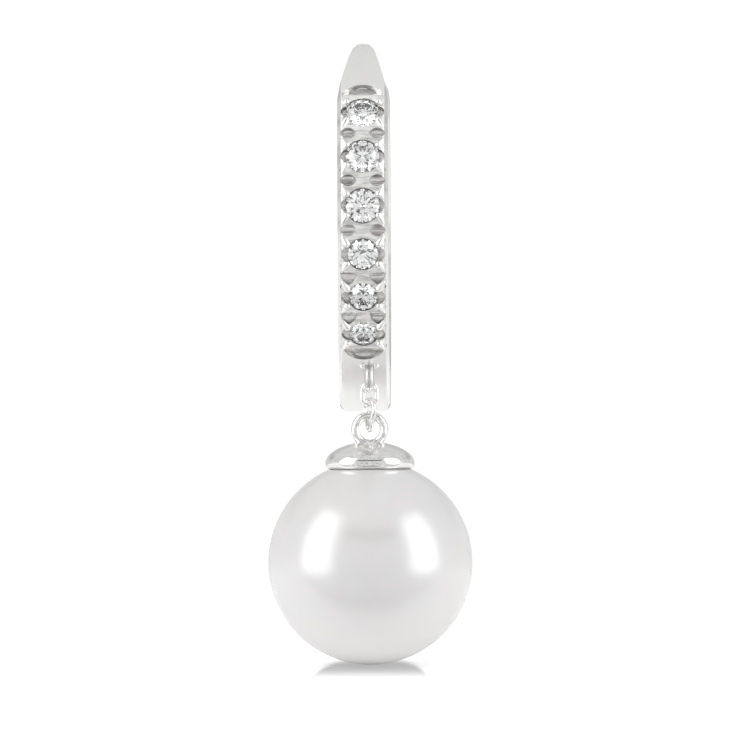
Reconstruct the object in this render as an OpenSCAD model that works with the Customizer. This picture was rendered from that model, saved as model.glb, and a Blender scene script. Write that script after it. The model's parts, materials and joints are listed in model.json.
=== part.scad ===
// Hinged huggie hoop with a row of graduated round stones and a pearl drop.
// Lengths are millimetres. +Z is up and the jewelled front faces -Y.
// The hoop's parts are drawn about its centre, then moved so that the origin
// is the middle of the ear post.

/* [Hoop] */
// Outer diameter of the hoop
hoop_d = 14.5; // [14:0.1:15]
// Width of the band from side to side
band_w = 1.98; // [1.9:0.01:2.1]
// Radial thickness of the jewelled front half
front_t = 1.7; // [1.6:0.05:1.8]
// Radial thickness of the plain back half
back_t = 1.4; // [1.3:0.05:1.5]
// Chamfer along the edges of the band
band_edge = 0.12; // [0.08:0.01:0.16]
// Radius of the rounded corners at the bottom of the hoop
bottom_corner_r = 0.35; // [0.25:0.05:0.4]

/* [Taper and ear post] */
// Angle above the front at which the front half starts to narrow
taper_from = 45; // [44:1:46]
// Angle above the front at which the narrow band becomes the round neck
taper_to = 77; // [76:1:78]
// Width of the band where it meets the neck
taper_tip_w = 0.77; // [0.75:0.01:0.8]
// Diameter of the ear post
post_d = 0.72; // [0.7:0.01:0.76]
// Slope of the ear post, falling towards the back
post_slope = 18.7; // [18:0.1:19.5]
// Length of the ear post from the neck to its tip
post_len = 6; // [5.9:0.05:6.1]
// Angle above the front at which the back half ends
back_end = 125; // [124.5:0.5:126]
// Clearance around the post in the catch slot
slot_gap = 0.06; // [0.05:0.01:0.08]

/* [Stones] */
// Diameter of the three upper stones
large_stone_d = 1.34; // [1.3:0.01:1.36]
// Diameter that the lower stones shrink towards
small_stone_d = 1.05; // [1:0.01:1.1]
// Angle of the top stone above the front
first_stone_angle = 38.3; // [38:0.1:38.6]
// Clear space between two stones, as a share of their mean diameter
stone_spacing = 0.505; // [0.5:0.005:0.51]
// Clearance between a stone and its seat
stone_gap = 0.03; // [0.03:0.005:0.04]
// Diameter of the beads that hold the stones
bead_d = 0.3; // [0.26:0.01:0.32]

/* [Hinge] */
// Diameter of the hinge barrel
barrel_d = 1.56; // [1.5:0.02:1.6]
// Width of the middle knuckle
knuckle_w = 0.84; // [0.8:0.02:0.9]
// Diameter of the hinge pin
pin_d = 0.6; // [0.55:0.01:0.65]
// Running clearance between the hinge parts
hinge_gap = 0.06; // [0.05:0.01:0.07]

/* [Links] */
// Distance of the drop to the right of the hoop's middle plane
drop_x = 0.21; // [0.16:0.01:0.22]
// Wire diameter of the eye soldered on the hoop
eye_wire = 0.28; // [0.26:0.01:0.3]
// Diameter of the thick shank by which the eye is soldered on
shank_d = 0.4; // [0.36:0.01:0.42]
// Wire diameter of the two links
link_wire = 0.18; // [0.17:0.005:0.18]
// Outer width of the upper link
upper_w = 0.74; // [0.73:0.01:0.76]
// Outer length of the upper link
upper_len = 1.02; // [1:0.01:1.04]
// Outer length of the lower link
lower_len = 1.39; // [1.39:0.01:1.4]
// Angle by which the lower link is turned out of the fore-and-aft plane
lower_turn = 26; // [22:1:26]
// Free space where one link hangs in the next
link_gap = 0.035; // [0.03:0.005:0.04]

/* [Drop] */
// Diameter of the pearl
pearl_d = 8; // [7.5:0.1:8.2]
// Diameter of the cap on the pearl
cap_d = 3.5; // [3.4:0.05:3.6]
// Height of the cap's dome above its rim
cap_h = 0.82; // [0.8:0.01:0.86]
// Height of the rounded rim of the cap
cap_rim = 0.25; // [0.22:0.01:0.28]
// Distance by which the rim curls in at the bottom
cap_curl = 0.11; // [0.08:0.01:0.12]
// Wire diameter of the eye on the cap
cap_eye_wire = 0.34; // [0.33:0.01:0.34]
// Outer diameter of the eye on the cap
cap_eye_d = 1.46; // [1.44:0.01:1.46]
// Diameter of the peg that holds the pearl
peg_d = 0.8; // [0.7:0.05:0.9]
// Gap between the pearl and its cap and peg
pearl_gap = 0.03; // [0.03:0.01:0.05]

/* [Hidden] */
$fn = 64;

// Size of a cutting block that reaches past the whole hoop
far = 3 * hoop_d;
hoop_r = hoop_d / 2;
front_inner_r = hoop_r - front_t;

// Neck and post
neck_r = post_d / 2 + 0.01;
neck_ring_r = hoop_r - neck_r - 0.01;
neck_angle = 84;
elbow_r = neck_r + 0.02;
elbow_y = -neck_ring_r * cos(neck_angle);
elbow_z = neck_ring_r * sin(neck_angle);
// Share of the post, from the elbow, at which the ear hangs on it
post_middle = 0.44;
origin_y = elbow_y + post_middle * post_len * cos(post_slope);
origin_z = elbow_z - post_middle * post_len * sin(post_slope);

// Narrowing of the front half, drawn square to the radius at this angle
taper_mid = 66;
taper_start_t = hoop_r * sin(taper_from - taper_mid);
taper_end_t = hoop_r * sin(taper_to - taper_mid);
taper_lean = atan((band_w - taper_tip_w) / 2 / (taper_end_t - taper_start_t));
// A larger circle, set off to the back, thins the narrow part from inside
thin_offset = 4.54;
thin_r = thin_offset + front_inner_r - 0.05;
thin_angle = 30;
thin_low_z = 3.3;

// Back half: rounded upper end, and the angle at which its band stops by the hinge
back_round_r = 1.9;
back_round_mid = 129;
back_round_t = hoop_r * sin(134 - back_round_mid);
back_low_end = 265;

// Hinge
hinge_z = -(hoop_r - barrel_d / 2 - 0.02);

// Stones
STONE_COUNT = 6;
LARGE_STONES = 3;
function stone_d(i) =
    i <= LARGE_STONES ? large_stone_d
    : small_stone_d + (large_stone_d - small_stone_d) * pow(0.5, i - LARGE_STONES);
function stone_pitch(i) = (stone_d(i) + stone_d(i + 1)) / 2 * (1 + stone_spacing);
function arc_angle(length) = length / hoop_r * 180 / PI;
function stone_angle(i) =
    i == 1 ? first_stone_angle : stone_angle(i - 1) - arc_angle(stone_pitch(i - 1));
// Angles of the leaf cuts: above the first stone, between the stones, below the last
end_cut_shift = 1.4;
function cut_angle(i) =
    i == 0 ? stone_angle(1) + arc_angle(stone_pitch(1) / 2) + end_cut_shift
    : i == STONE_COUNT ? stone_angle(i) - arc_angle(stone_pitch(i - 1) / 2) - end_cut_shift
    : (stone_angle(i) + stone_angle(i + 1)) / 2;

// Proportions of a cut stone, as shares of its diameter
table_share = 0.56;
crown_share = 0.15;
girdle_share = 0.03;
pavilion_share = 0.43;
star_share = 0.77;
lower_half_share = 0.22;
// Radius, from the hoop's centre, of the top of the stones' girdles
girdle_r = hoop_r - 0.06;

// Leaf cuts: full leaves between the upper stones, spearheads that point down below them
FULL_LEAVES = 3;
leaf_in = 0.24;
leaf_out = 0.89;
leaf_h = 0.48;
spear_h = 0.5;
spear_drop = 0.1;
end_leaf_w = 1.66;
end_leaf_h = 0.6;
// Every cut is scooped by a round tool that lies across the band
scoop_r = 0.4;
scoop_lift = 0.1;
bead_x = 0.76;
bead_step = 0.43;
scallop_r = 0.28;
scallop_out = 0.86;

// Links, from the hoop's eye down to the cap's eye
eye_ring_r = 0.445;
eye_sink = 0.12;
shank_from = -35;
shank_to = 60;
solder_d = 0.7;
solder_sink = 0.28;
eye_z = -5.955;
eye_dist = hoop_r + eye_ring_r + eye_wire / 2 - eye_sink;
drop_y = -sqrt(pow(eye_dist, 2) - pow(eye_z, 2));
eye_bottom_z = eye_z - eye_ring_r;
upper_bend_r = (upper_w - link_wire) / 2;
upper_straight = upper_len - upper_w;
upper_top_z = eye_bottom_z + (eye_wire + link_wire) / 2 + link_gap;
upper_z = upper_top_z - (upper_len - link_wire) / 2;
upper_bottom_z = upper_top_z - (upper_len - link_wire);
lower_top_z = upper_bottom_z + link_wire + link_gap;
lower_top_r = 0.415;
lower_bottom_r = 0.13;
lower_rise = lower_len - link_wire - lower_top_r - lower_bottom_r;
lower_lean = asin((lower_top_r - lower_bottom_r) / lower_rise);
cap_eye_ring_r = (cap_eye_d - cap_eye_wire) / 2;
// The cap's eye rests between the leaning sides of the lower link, which it crosses
// at a slant, so that they lie nearer to it than their half width there
slant_share = cos(lower_turn)
    / sqrt(pow(cos(lower_lean), 2) + pow(cos(lower_turn) * sin(lower_lean), 2));
rest_half_w = ((cap_eye_wire + link_wire) / 2 + link_gap) / slant_share;
lower_bottom_z = lower_top_z - lower_top_r - lower_rise;
cap_eye_top_z = lower_bottom_z + (rest_half_w - lower_bottom_r) / sin(lower_lean);
cap_eye_z = cap_eye_top_z - cap_eye_ring_r;

// Cap and pearl
cap_eye_sink = 0.27;
cap_top_z = cap_eye_z - cap_eye_d / 2 + cap_eye_sink;
cap_rim_z = cap_top_z - cap_h - cap_rim;
pearl_r = pearl_d / 2;
cup_r = pearl_r + pearl_gap;
pearl_z = cap_rim_z - sqrt(pow(cup_r, 2) - pow(cap_d / 2 - cap_curl, 2));
peg_len = 2.6;
DOME_STEPS = 12;
CURL_STEPS = 4;
// Exponent of the dome's outline, a little leaner than an ellipse's 2
dome_power = 1.85;

// Turns a profile drawn with x forward and y up into the hoop's side plane
module side_plane() {
    rotate([90, 0, -90]) children();
}

// Puts children on the band at an angle above the front, their Z outwards
module on_band(angle, r) {
    rotate([90 - angle, 0, 0]) translate([0, 0, r]) children();
}

// Moves what is drawn about the hoop's centre into the part's frame
module placed() {
    translate([0, -origin_y, -origin_z]) children();
}

module each_side() {
    children();
    mirror([1, 0, 0]) children();
}

// Section of the band, with chamfered edges
module band_section(t) {
    w = band_w / 2;
    e = band_edge;
    translate([hoop_r - t, 0])
        polygon([[e, -w], [t - e, -w], [t, e - w], [t, w - e],
                 [t - e, w], [e, w], [0, w - e], [0, e - w]]);
}

module band_arc(from, to, t) {
    side_plane()
        rotate_extrude(angle = to - from, start = from) band_section(t);
}

// A cylinder along X that starts on the left and is centred on the hoop's plane
module cross_cylinder(d, w, y, z) {
    translate([-w / 2, y, z]) rotate([0, 90, 0]) cylinder(d = d, h = w);
}

// Front view of the hoop's outline, with rounded bottom corners
module front_outline() {
    w = band_w / 2 + 0.01;
    c = bottom_corner_r;
    translate([-w, c - hoop_r]) square([2 * w, 2 * hoop_r]);
    translate([c - w, -hoop_r - 0.01]) square([2 * (w - c), 2 * c]);
    for (x = [c - w, w - c])
        translate([x, c - hoop_r - 0.01]) circle(r = c);
}

module within_outline() {
    intersection() {
        children();
        rotate([90, 0, 0])
            translate([0, 0, -hoop_d]) linear_extrude(2 * hoop_d) front_outline();
    }
}

// Planes that narrow the upper end of the front half
module taper_cuts() {
    on_band(taper_mid, hoop_r - 3)
        each_side()
            translate([band_w / 2, taper_start_t, 0])
                rotate([0, 0, taper_lean]) translate([0, -1, 0]) cube([3, 8, 4]);
}

// Thins the narrow end from the inside of the hoop
module thinning_cut() {
    intersection() {
        cross_cylinder(2 * thin_r, 2 * band_w,
                       thin_offset * cos(thin_angle), -thin_offset * sin(thin_angle));
        translate([-far / 2, -far / 2, thin_low_z]) cube(far);
    }
}

module front_band() {
    difference() {
        within_outline() band_arc(-90, taper_to, front_t);
        taper_cuts();
        thinning_cut();
    }
}

// Round neck at the top of the front half, and the post that goes through the ear
module neck_and_post() {
    side_plane()
        rotate_extrude(angle = neck_angle - taper_to + 5, start = taper_to - 5)
            translate([neck_ring_r, 0]) circle(r = neck_r);
    translate([0, elbow_y, elbow_z]) sphere(r = elbow_r);
    translate([0, elbow_y, elbow_z]) rotate([-90 - post_slope, 0, 0]) {
        cylinder(d = post_d, h = post_len - 0.15);
        translate([0, 0, post_len - 0.15]) cylinder(d1 = post_d, d2 = post_d - 0.3, h = 0.15);
    }
}

// Lens shape between two arcs
module lens(w, h) {
    r = (w * w + h * h) / (4 * h);
    intersection() {
        translate([0, r - h / 2]) circle(r = r);
        translate([0, h / 2 - r]) circle(r = r);
    }
}

// Lower half of a lens: straight above and round below
module bowl(w, h) {
    translate([0, h / 2])
        intersection() {
            lens(w, 2 * h);
            translate([-w, -2 * h]) square([2 * w, 2 * h]);
        }
}

// Straight above, with two round sides that meet in a point below
module spearhead(w, h) {
    shift = h * h / w - w / 4;
    translate([0, h / 2])
        intersection() {
            translate([shift, 0]) circle(r = w / 2 + shift);
            translate([-shift, 0]) circle(r = w / 2 + shift);
            translate([-w, -2 * h]) square([2 * w, 2 * h]);
        }
}

// Cuts the band by a flat shape at an angle, as deep as the round tool reaches
module scooped(angle) {
    intersection() {
        on_band(angle, hoop_r - 1) linear_extrude(2) children();
        on_band(angle, hoop_r + scoop_lift)
            translate([-band_w, 0, 0]) rotate([0, 90, 0]) cylinder(r = scoop_r, h = 2 * band_w);
    }
}

// Pair of cuts between two stones
module leaf_cuts(i) {
    w = leaf_out - leaf_in;
    scooped(cut_angle(i))
        each_side()
            translate([leaf_in + w / 2, 0])
                if (i <= FULL_LEAVES) lens(w, leaf_h);
                else translate([0, -spear_drop]) spearhead(w, spear_h);
}

// Seat of a stone, with a shallow scallop at each side
module stone_seat(i) {
    r = stone_d(i) / 2 + stone_gap;
    below_girdle = girdle_share * stone_d(i) + stone_gap;
    depth = pavilion_share * stone_d(i) + stone_gap;
    on_band(stone_angle(i), girdle_r - below_girdle) {
        cylinder(r = r, h = 1);
        translate([0, 0, -depth]) cylinder(r1 = 0.06, r2 = r, h = depth);
    }
    scooped(stone_angle(i))
        each_side() translate([scallop_out - scallop_r, 0]) circle(r = scallop_r);
}

// Four beads round each cut, two for the stone above and two for the one below
module beads(angle, steps) {
    for (step = steps)
        on_band(angle + arc_angle(step * bead_step), hoop_r - 0.03)
            each_side() translate([bead_x, 0, 0]) sphere(d = bead_d);
}

// Eye on the lower front of the hoop, with its thick shank and a little solder at the root
module hoop_eye() {
    translate([drop_x, drop_y, eye_z]) side_plane() {
        rotate_extrude() translate([eye_ring_r, 0]) circle(d = eye_wire);
        rotate_extrude(angle = shank_to - shank_from, start = shank_from)
            translate([eye_ring_r, 0]) circle(d = shank_d);
    }
    root_angle = atan2(eye_z, -drop_y);
    on_band(root_angle, hoop_r - solder_sink) translate([drop_x, 0, 0]) sphere(d = solder_d);
}

module front_hoop() {
    color("gainsboro") placed()
        difference() {
            union() {
                front_band();
                neck_and_post();
                within_outline() cross_cylinder(barrel_d, band_w, 0, hinge_z);
                hoop_eye();
                beads(cut_angle(0), [-1]);
                for (i = [1:STONE_COUNT - 1]) beads(cut_angle(i), [-1, 1]);
                beads(cut_angle(STONE_COUNT), [1]);
            }
            for (i = [1:STONE_COUNT]) stone_seat(i);
            for (i = [1:STONE_COUNT - 1]) leaf_cuts(i);
            scooped(cut_angle(0)) mirror([0, 1]) bowl(end_leaf_w, end_leaf_h);
            scooped(cut_angle(STONE_COUNT)) bowl(end_leaf_w, end_leaf_h);
            cross_cylinder(barrel_d + 2 * hinge_gap, knuckle_w + 2 * hinge_gap, 0, hinge_z);
            cross_cylinder(pin_d + hinge_gap, 2 * band_w, 0, hinge_z);
        }
}

// Corners cut off the end of the back half, along two arcs
module back_end_cuts() {
    on_band(back_round_mid, hoop_r - 3)
        each_side()
            linear_extrude(4)
                difference() {
                    translate([0, back_round_t - 3]) square(3);
                    translate([band_w / 2 - back_round_r - 0.01, back_round_t])
                        circle(r = back_round_r);
                }
}

// Slot, open at the top, in which the tip of the post rests
module catch_slot() {
    w = post_d + 2 * slot_gap;
    translate([0, elbow_y, elbow_z]) rotate([-90 - post_slope, 0, 0])
        translate([0, 0, post_len / 2]) {
            cylinder(d = w, h = post_len / 2 + 0.15);
            translate([-w / 2, -3, 0]) cube([w, 3, post_len / 2 + 0.15]);
        }
}

module back_hoop() {
    color("silver") placed()
        difference() {
            within_outline() {
                difference() {
                    band_arc(back_end, back_low_end, back_t);
                    each_side()
                        translate([knuckle_w / 2, 0, hinge_z]) rotate([0, 90, 0])
                            cylinder(d = barrel_d + 2 * hinge_gap, h = band_w);
                }
                cross_cylinder(barrel_d, knuckle_w, 0, hinge_z);
            }
            back_end_cuts();
            catch_slot();
            cross_cylinder(pin_d + hinge_gap, 2 * band_w, 0, hinge_z);
        }
}

module hinge_pin() {
    color("darkgray") placed() cross_cylinder(pin_d, band_w - 0.04, 0, hinge_z);
}

// Point at an angle, a distance from the stone's axis and a height
function polar(angle, r, z) = [r * cos(angle), r * sin(angle), z];

// Round cut stone: table, stars, kites, halves, girdle and pavilion
module cut_stone(d) {
    r = d / 2;
    table_r = table_share * r;
    crown_h = crown_share * d;
    girdle_h = girdle_share * d;
    culet_z = -girdle_h - pavilion_share * d;
    star_r = star_share * r;
    star_z = (r - star_r * cos(22.5)) * crown_h / (r - table_r);
    deep_r = lower_half_share * r;
    deep_z = culet_z + deep_r * cos(22.5) * (-girdle_h - culet_z) / r;
    points = concat(
        [for (k = [0:7]) polar(45 * k, table_r, crown_h)],
        [for (k = [0:7]) polar(45 * k + 22.5, star_r, star_z)],
        [for (k = [0:15]) polar(22.5 * k, r, 0)],
        [for (k = [0:15]) polar(22.5 * k, r, -girdle_h)],
        [for (k = [0:7]) polar(45 * k + 22.5, deep_r, deep_z)],
        [[0, 0, culet_z]]
    );
    table = 0;
    star = 8;
    top = 16;
    low = 32;
    deep = 48;
    culet = 56;
    faces = concat(
        [[for (k = [7:-1:0]) table + k]],
        [for (k = [0:7]) [table + k, table + (k + 1) % 8, star + k]],
        [for (k = [0:7]) [table + k, star + k, top + 2 * k, star + (k + 7) % 8]],
        [for (k = [0:7]) [star + k, top + 2 * k + 1, top + 2 * k]],
        [for (k = [0:7]) [star + k, top + (2 * k + 2) % 16, top + 2 * k + 1]],
        [for (k = [0:15]) [top + k, top + (k + 1) % 16, low + (k + 1) % 16, low + k]],
        [for (k = [0:7]) [deep + k, low + 2 * k, low + 2 * k + 1]],
        [for (k = [0:7]) [deep + k, low + 2 * k + 1, low + (2 * k + 2) % 16]],
        [for (k = [0:7]) [culet, deep + (k + 7) % 8, low + 2 * k, deep + k]]
    );
    polyhedron(points = points, faces = faces);
}

module stone(i) {
    color("aliceblue") placed() on_band(stone_angle(i), girdle_r) cut_stone(stone_d(i));
}

// Bend of a link's wire in the XZ plane, about the origin
module wire_bend(r, from, to) {
    rotate([90, 0, 0])
        rotate_extrude(angle = to - from, start = from) translate([r, 0]) circle(d = link_wire);
}

module link_upper() {
    color("gainsboro") placed() translate([drop_x, drop_y, upper_z]) {
        translate([0, 0, upper_straight / 2]) wire_bend(upper_bend_r, 0, 180);
        translate([0, 0, -upper_straight / 2]) wire_bend(upper_bend_r, 180, 360);
        for (x = [-upper_bend_r, upper_bend_r])
            translate([x, 0, -upper_straight / 2]) cylinder(d = link_wire, h = upper_straight);
    }
}

// Pear-shaped link, narrow at the bottom
module link_lower() {
    side_len = lower_rise * cos(lower_lean);
    color("gainsboro") placed()
        translate([drop_x, drop_y, lower_bottom_z]) rotate([0, 0, 90 + lower_turn]) {
            wire_bend(lower_bottom_r, 180 - lower_lean, 360 + lower_lean);
            translate([0, 0, lower_rise]) wire_bend(lower_top_r, -lower_lean, 180 + lower_lean);
            each_side()
                rotate([0, lower_lean, 0])
                    translate([lower_bottom_r, 0, 0]) cylinder(d = link_wire, h = side_len);
        }
}

// Half of the cap's section: a dome over a rim that curls in
module cap_section() {
    polygon(concat(
        [[0, cap_rim_z]],
        [for (k = [0:CURL_STEPS])
            [cap_d / 2 - cap_curl * (1 - sin(90 * k / CURL_STEPS)),
             cap_rim_z + cap_rim * (1 - cos(90 * k / CURL_STEPS))]],
        [for (k = [1:DOME_STEPS])
            [cap_d / 2 * pow(cos(90 * k / DOME_STEPS), 2 / dome_power),
             cap_rim_z + cap_rim + cap_h * pow(sin(90 * k / DOME_STEPS), 2 / dome_power)]]
    ));
}

module drop_cap() {
    color("gainsboro") placed() translate([drop_x, drop_y, 0]) {
        difference() {
            rotate_extrude() cap_section();
            translate([0, 0, pearl_z]) sphere(r = cup_r);
        }
        translate([0, 0, cap_eye_z]) rotate([90, 0, 0])
            rotate_extrude() translate([cap_eye_ring_r, 0]) circle(d = cap_eye_wire);
        translate([0, 0, pearl_z + pearl_r - peg_len]) cylinder(d = peg_d, h = peg_len + 0.3);
    }
}

module pearl() {
    color("whitesmoke") placed() translate([drop_x, drop_y, pearl_z])
        difference() {
            sphere(r = pearl_r);
            translate([0, 0, pearl_r - peg_len - pearl_gap])
                cylinder(d = peg_d + 2 * pearl_gap, h = pearl_r);
        }
}

front_hoop();
back_hoop();
hinge_pin();
stone(1);  // stone_1
stone(2);  // stone_2
stone(3);  // stone_3
stone(4);  // stone_4
stone(5);  // stone_5
stone(6);  // stone_6
link_upper();
link_lower();
drop_cap();
pearl();
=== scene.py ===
"""Looks of a hinged huggie hoop with a row of round stones and a pearl drop.

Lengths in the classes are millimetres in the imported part's frame: +Z is up and the
jewelled front faces -Y. Meshes are written in metres, the frame's own unit.
"""

import json
import logging
import math
from collections.abc import Callable, Iterable, Sequence
from dataclasses import dataclass, field
from enum import Enum, IntEnum
from functools import cache

import bmesh
import bpy
from mathutils import Euler, Matrix, Vector


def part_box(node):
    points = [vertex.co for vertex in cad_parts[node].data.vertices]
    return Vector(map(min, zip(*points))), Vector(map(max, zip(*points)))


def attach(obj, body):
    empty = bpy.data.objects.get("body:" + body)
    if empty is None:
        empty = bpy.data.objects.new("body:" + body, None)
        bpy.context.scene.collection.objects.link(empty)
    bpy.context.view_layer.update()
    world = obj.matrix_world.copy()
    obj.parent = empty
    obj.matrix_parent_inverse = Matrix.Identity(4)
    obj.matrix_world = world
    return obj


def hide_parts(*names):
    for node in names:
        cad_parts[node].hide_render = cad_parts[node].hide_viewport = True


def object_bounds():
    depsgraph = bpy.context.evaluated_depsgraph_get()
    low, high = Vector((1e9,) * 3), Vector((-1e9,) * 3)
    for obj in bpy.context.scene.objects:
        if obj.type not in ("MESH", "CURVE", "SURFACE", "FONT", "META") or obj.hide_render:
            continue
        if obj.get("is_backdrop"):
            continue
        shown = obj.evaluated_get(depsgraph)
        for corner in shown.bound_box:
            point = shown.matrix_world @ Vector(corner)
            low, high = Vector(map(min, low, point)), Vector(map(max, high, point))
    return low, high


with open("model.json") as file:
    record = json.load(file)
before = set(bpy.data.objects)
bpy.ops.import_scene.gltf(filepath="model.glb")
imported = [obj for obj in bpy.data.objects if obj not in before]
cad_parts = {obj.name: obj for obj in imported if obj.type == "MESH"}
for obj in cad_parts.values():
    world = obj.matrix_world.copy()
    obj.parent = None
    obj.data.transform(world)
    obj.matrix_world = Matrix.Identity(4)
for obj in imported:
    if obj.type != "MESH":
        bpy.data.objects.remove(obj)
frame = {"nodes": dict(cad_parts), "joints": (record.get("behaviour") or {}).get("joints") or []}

MM = 0.001
log = logging.getLogger("earring")

Span = tuple[float, float]
Triple = tuple[float, float, float]
Colour = Triple
Tree = bpy.types.NodeTree
Node = bpy.types.Node
Socket = bpy.types.NodeSocket
Piece = bpy.types.Object
Number = "Value | float"
RIGHT, BACK, UP = Vector((1, 0, 0)), Vector((0, 1, 0)), Vector((0, 0, 1))


# Nodes and shader maths

def feed(node: Node, inputs: dict) -> None:
    """Sets or links sockets of a node.

    Args:
        node: The node.
        inputs: Socket name or index to a number, vector, Value or socket to link.
    """
    for key, value in inputs.items():
        source = value.socket if isinstance(value, Value) else value
        if isinstance(source, Socket):
            node.id_data.links.new(source, node.inputs[key])
        else:
            node.inputs[key].default_value = source


def add_node(tree: Tree, kind: str, inputs: dict | None = None, **settings: object) -> Node:
    """Adds one node to a shader or geometry tree.

    Args:
        tree: The tree that gets the node.
        kind: The node's type name.
        inputs: What its sockets are fed.
        settings: Properties of the node, set before its sockets.

    Returns:
        The new node.
    """
    node = tree.nodes.new(kind)
    for name, value in settings.items():
        setattr(node, name, value)
    feed(node, inputs or {})
    return node


@dataclass(frozen=True)
class Value:
    """A number socket. Arithmetic on it adds Math nodes to its tree."""

    socket: Socket

    def __add__(self, other: Number) -> "Value":
        """Sum of the two numbers."""
        return math_node("ADD", self, other)

    def __sub__(self, other: Number) -> "Value":
        """Difference of the two numbers."""
        return math_node("SUBTRACT", self, other)

    def __rsub__(self, other: Number) -> "Value":
        """Difference from a plain number on the left."""
        return math_node("SUBTRACT", other, self)

    def __mul__(self, other: Number) -> "Value":
        """Product of the two numbers."""
        return math_node("MULTIPLY", self, other)

    def __truediv__(self, other: Number) -> "Value":
        """Quotient of the two numbers."""
        return math_node("DIVIDE", self, other)

    def __abs__(self) -> "Value":
        """Size of the number without its sign."""
        return math_node("ABSOLUTE", self)

    __radd__, __rmul__ = __add__, __mul__


def math_node(operation: str, *numbers: Number) -> Value:
    """Adds one Math node.

    Args:
        operation: The Math node's operation.
        numbers: Its operands, at least one of them a Value.

    Returns:
        The node's result.
    """
    tree = next(n.socket.id_data for n in numbers if isinstance(n, Value))
    node = add_node(tree, "ShaderNodeMath", dict(enumerate(numbers)), operation=operation)
    return Value(node.outputs[0])


def smooth_step(value: Value, low: float, high: float) -> Value:
    """Smooth rise of a value, from 0 at low to 1 at high."""
    node = add_node(value.socket.id_data, "ShaderNodeMapRange",
                    {"Value": value, "From Min": low, "From Max": high},
                    interpolation_type="SMOOTHSTEP")
    return Value(node.outputs["Result"])


def within(offset: Value, half: float, edge: float) -> Value:
    """Mask that is 1 up to a half width to either side of 0, with a soft edge."""
    return 1.0 - smooth_step(abs(offset), half - edge, half + edge)


def blend(share: Value, a: Number, b: Number) -> Value:
    """Blend of two numbers: the first where the share is 0 and the second where it is 1."""
    return a + (b - a) * share


def mix_colour(factor: Value, a: Colour | Socket, b: Colour | Socket) -> Socket:
    """Blend of two colours: the first where the factor is 0 and the second where it is 1."""
    first, second = (c if isinstance(c, Socket) else (*c, 1.0) for c in (a, b))
    return add_node(factor.socket.id_data, "ShaderNodeMix",
                    {0: factor, 6: first, 7: second}, data_type="RGBA").outputs[2]


def bump(height: Value) -> Socket:
    """Normal of a surface with a height in millimetres."""
    return add_node(height.socket.id_data, "ShaderNodeBump",
                    {"Height": height, "Distance": MM}).outputs["Normal"]


def object_noise(tree: Tree, scale: Triple, detail: float = 3.0) -> Value:
    """Noise on object coordinates, stretched along the axes where the scale is small.

    Args:
        tree: The material's tree.
        scale: Features per millimetre along X, Y and Z.
        detail: Finer layers of the noise.

    Returns:
        The noise, about 0.5 on average.
    """
    place = add_node(tree, "ShaderNodeTexCoord").outputs["Object"]
    spread = add_node(tree, "ShaderNodeMapping",
                      {"Vector": place, "Scale": tuple(s / MM for s in scale)})
    noise = add_node(tree, "ShaderNodeTexNoise",
                     {"Vector": spread.outputs["Vector"], "Scale": 1.0, "Detail": detail})
    return Value(noise.outputs[0])


def axes_of(vector: Socket) -> list[Value]:
    """The X, Y and Z of a vector socket."""
    parts = add_node(vector.id_data, "ShaderNodeSeparateXYZ", {0: vector}).outputs
    return [Value(part) for part in parts]


def object_axes(tree: Tree) -> list[Value]:
    """Object coordinates X, Y and Z, in millimetres."""
    place = add_node(tree, "ShaderNodeTexCoord").outputs["Object"]
    return [metres / MM for metres in axes_of(place)]


# Finishes

class Grain(Enum):
    """Way in which a metal face was worked, as marks per millimetre along X, Y and Z."""

    ROUND_THE_HOOP = (9.0, 0.5, 0.5)
    DOWN_THE_EYE = (7.0, 0.8, 0.8)
    GRAVER_STROKES = (1.4, 7.0, 7.0)
    ACROSS_THE_BAND = (0.9, 12.0, 12.0)
    EVEN = (5.0, 5.0, 5.0)


@dataclass(frozen=True)
class Finish:
    """A finish made with one Principled shader. Each kind tells what the shader is fed."""

    name: str

    @cache
    def material(self) -> bpy.types.Material:
        """The finish's material, made once."""
        material = bpy.data.materials.new(self.name)
        material.use_nodes = True
        shader = material.node_tree.nodes["Principled BSDF"]
        feed(shader, self.inputs(material.node_tree))
        return material

    def inputs(self, tree: Tree) -> dict:
        """What the shader's sockets are fed, by their names."""
        raise NotImplementedError


@dataclass(frozen=True)
class WhiteGold(Finish):
    """Polished white gold with fine marks that follow the way it was worked."""

    colour: Colour = (0.83, 0.825, 0.81)
    roughness: float = 0.07
    roughness_spread: float = 0.07
    grain: Grain = Grain.EVEN
    mark_depth: float = 0.0006
    rough_span: Span = (0.35, 0.75)
    cloud_scale: Triple = (0.8, 0.8, 0.8)
    cloud_span: Span = (0.3, 0.7)
    cloud_share: float = 0.97

    def inputs(self, tree: Tree) -> dict:
        """What the metal's shader is fed."""
        marks = object_noise(tree, self.grain.value)
        return {"Metallic": 1.0, "Base Color": self.colour_of(tree, marks),
                "Roughness": self.roughness_of(tree, marks),
                "Normal": bump(self.height_of(tree, marks))}

    def colour_of(self, tree: Tree, marks: Value) -> Socket:
        """Colour with slow, faint clouds."""
        clouds = smooth_step(object_noise(tree, self.cloud_scale, 1.0), *self.cloud_span)
        return mix_colour(clouds, tuple(self.cloud_share * c for c in self.colour), self.colour)

    def height_of(self, tree: Tree, marks: Value) -> Value:
        """Height of the marks, in millimetres."""
        return marks * self.mark_depth

    def roughness_of(self, tree: Tree, marks: Value) -> Value:
        """Roughness, more on the marks."""
        return self.roughness + smooth_step(marks, *self.rough_span) * self.roughness_spread


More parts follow.
